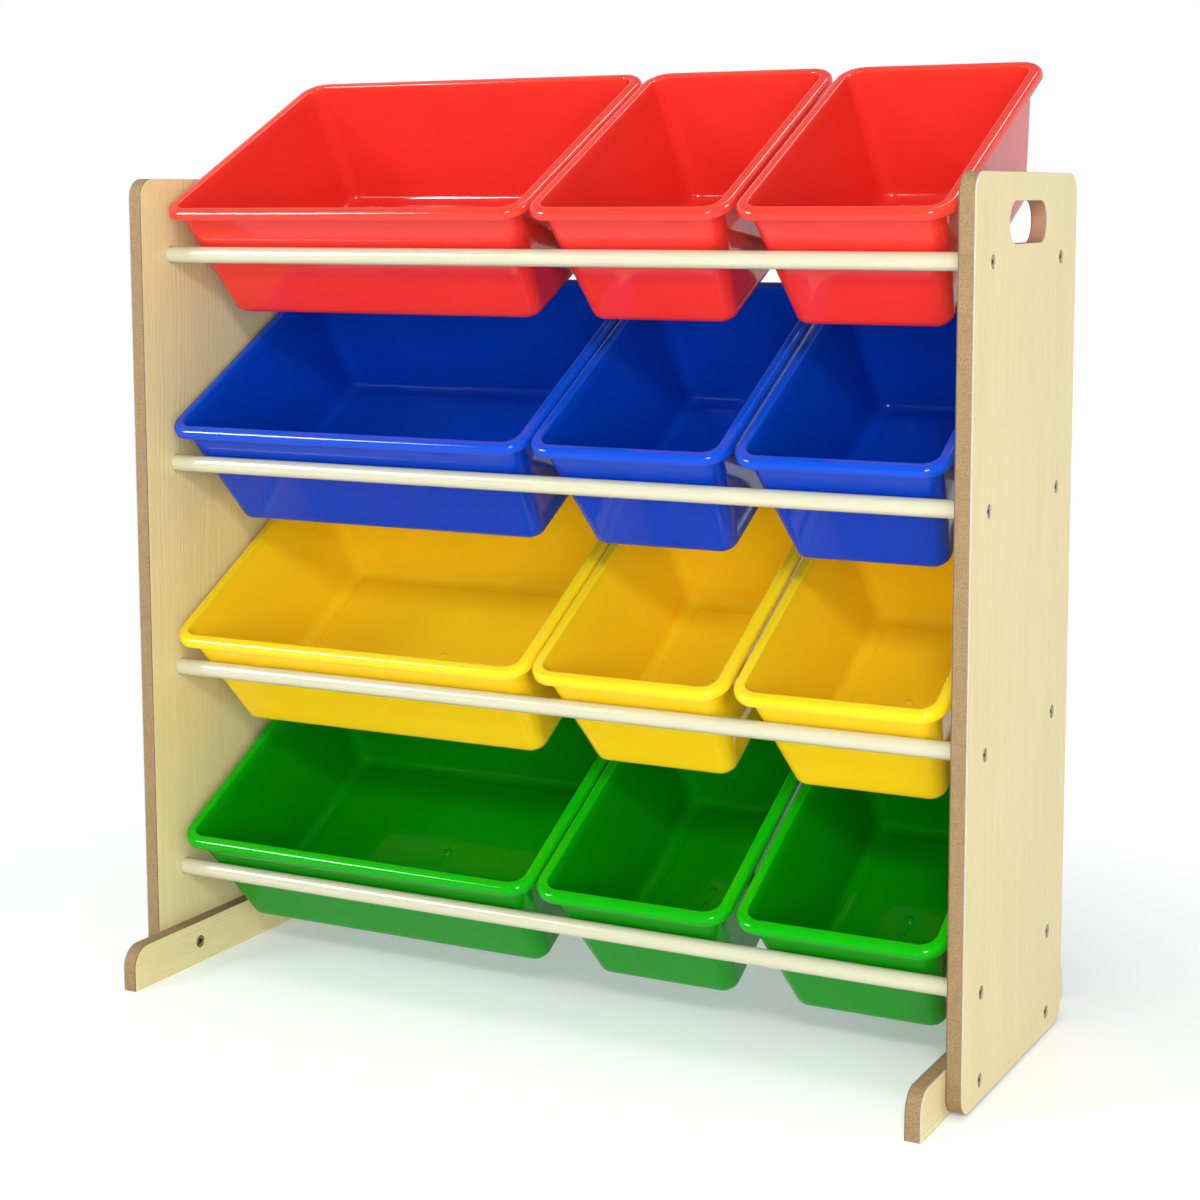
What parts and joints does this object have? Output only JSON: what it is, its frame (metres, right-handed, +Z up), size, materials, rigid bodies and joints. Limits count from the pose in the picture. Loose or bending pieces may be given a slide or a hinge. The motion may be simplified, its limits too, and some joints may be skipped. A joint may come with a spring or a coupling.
{
  "type": "toy storage organizer with bins",
  "caption": "Open toy organizer: two laminated side panels on foot rails, round cross rods, and forward-tilted open plastic bins that lift out, in rows of red, blue, yellow and green.",
  "frame": {"origin": "on the floor, midway between the side panels and midway between their front and rear edges", "axes": "+X to the right along the rods, +Y to the back, +Z up; the open bins lean towards -Y, the front"},
  "size_m": [0.852, 0.397, 0.8899],
  "materials": {
    "maple_laminate": "pale maple-look laminate on fibreboard, satin",
    "cream_rods": "cream lacquered wooden rods, satin",
    "fastener_metal": "zinc-plated steel",
    "red_plastic": "glossy moulded red plastic",
    "blue_plastic": "glossy moulded blue plastic",
    "yellow_plastic": "glossy moulded yellow plastic",
    "green_plastic": "glossy moulded green plastic"
  },
  "bodies": {
    "frame": {"left_side_panel": "maple_laminate", "right_side_panel": "maple_laminate", "left_foot_rail": "maple_laminate", "right_foot_rail": "maple_laminate", "front_rod_1": "cream_rods", "front_rod_2": "cream_rods", "front_rod_3": "cream_rods", "front_rod_4": "cream_rods", "rear_rod_1": "cream_rods", "rear_rod_2": "cream_rods", "rear_rod_3": "cream_rods", "rear_rod_4": "cream_rods", "left_rod_bolts": "fastener_metal", "left_rod_inserts": "fastener_metal", "left_foot_bolts": "fastener_metal", "left_sleeve_nuts": "fastener_metal", "right_rod_bolts": "fastener_metal", "right_rod_inserts": "fastener_metal", "right_foot_bolts": "fastener_metal", "right_sleeve_nuts": "fastener_metal"},
    "green_large_bin": {"green_large_bin": "green_plastic"},
    "green_small_bin_1": {"green_small_bin_1": "green_plastic"},
    "green_small_bin_2": {"green_small_bin_2": "green_plastic"},
    "yellow_large_bin": {"yellow_large_bin": "yellow_plastic"},
    "yellow_small_bin_1": {"yellow_small_bin_1": "yellow_plastic"},
    "yellow_small_bin_2": {"yellow_small_bin_2": "yellow_plastic"},
    "blue_large_bin": {"blue_large_bin": "blue_plastic"},
    "blue_small_bin_1": {"blue_small_bin_1": "blue_plastic"},
    "blue_small_bin_2": {"blue_small_bin_2": "blue_plastic"},
    "red_large_bin": {"red_large_bin": "red_plastic"},
    "red_small_bin_1": {"red_small_bin_1": "red_plastic"},
    "red_small_bin_2": {"red_small_bin_2": "red_plastic"}
  },
  "joints": [
    {"name": "green_large_bin_draw", "type": "slide", "parent": "frame", "child": "green_large_bin", "axis": [0, 0.8746, 0.4848], "range_m": [0, 0.32]},
    {"name": "green_small_bin_1_draw", "type": "slide", "parent": "frame", "child": "green_small_bin_1", "axis": [0, 0.8746, 0.4848], "range_m": [0, 0.32]},
    {"name": "green_small_bin_2_draw", "type": "slide", "parent": "frame", "child": "green_small_bin_2", "axis": [0, 0.8746, 0.4848], "range_m": [0, 0.32]},
    {"name": "yellow_large_bin_draw", "type": "slide", "parent": "frame", "child": "yellow_large_bin", "axis": [0, 0.866, 0.5], "range_m": [0, 0.32]},
    {"name": "yellow_small_bin_1_draw", "type": "slide", "parent": "frame", "child": "yellow_small_bin_1", "axis": [0, 0.866, 0.5], "range_m": [0, 0.32]},
    {"name": "yellow_small_bin_2_draw", "type": "slide", "parent": "frame", "child": "yellow_small_bin_2", "axis": [0, 0.866, 0.5], "range_m": [0, 0.32]},
    {"name": "blue_large_bin_draw", "type": "slide", "parent": "frame", "child": "blue_large_bin", "axis": [0, 0.8721, 0.4894], "range_m": [0, 0.32]},
    {"name": "blue_small_bin_1_draw", "type": "slide", "parent": "frame", "child": "blue_small_bin_1", "axis": [0, 0.8721, 0.4894], "range_m": [0, 0.32]},
    {"name": "blue_small_bin_2_draw", "type": "slide", "parent": "frame", "child": "blue_small_bin_2", "axis": [0, 0.8721, 0.4894], "range_m": [0, 0.32]},
    {"name": "red_large_bin_lift", "type": "slide", "parent": "frame", "child": "red_large_bin", "axis": [0, 0, 1], "range_m": [0, 0.2]},
    {"name": "red_small_bin_1_lift", "type": "slide", "parent": "frame", "child": "red_small_bin_1", "axis": [0, 0, 1], "range_m": [0, 0.2]},
    {"name": "red_small_bin_2_lift", "type": "slide", "parent": "frame", "child": "red_small_bin_2", "axis": [0, 0, 1], "range_m": [0, 0.2]}
  ]
}
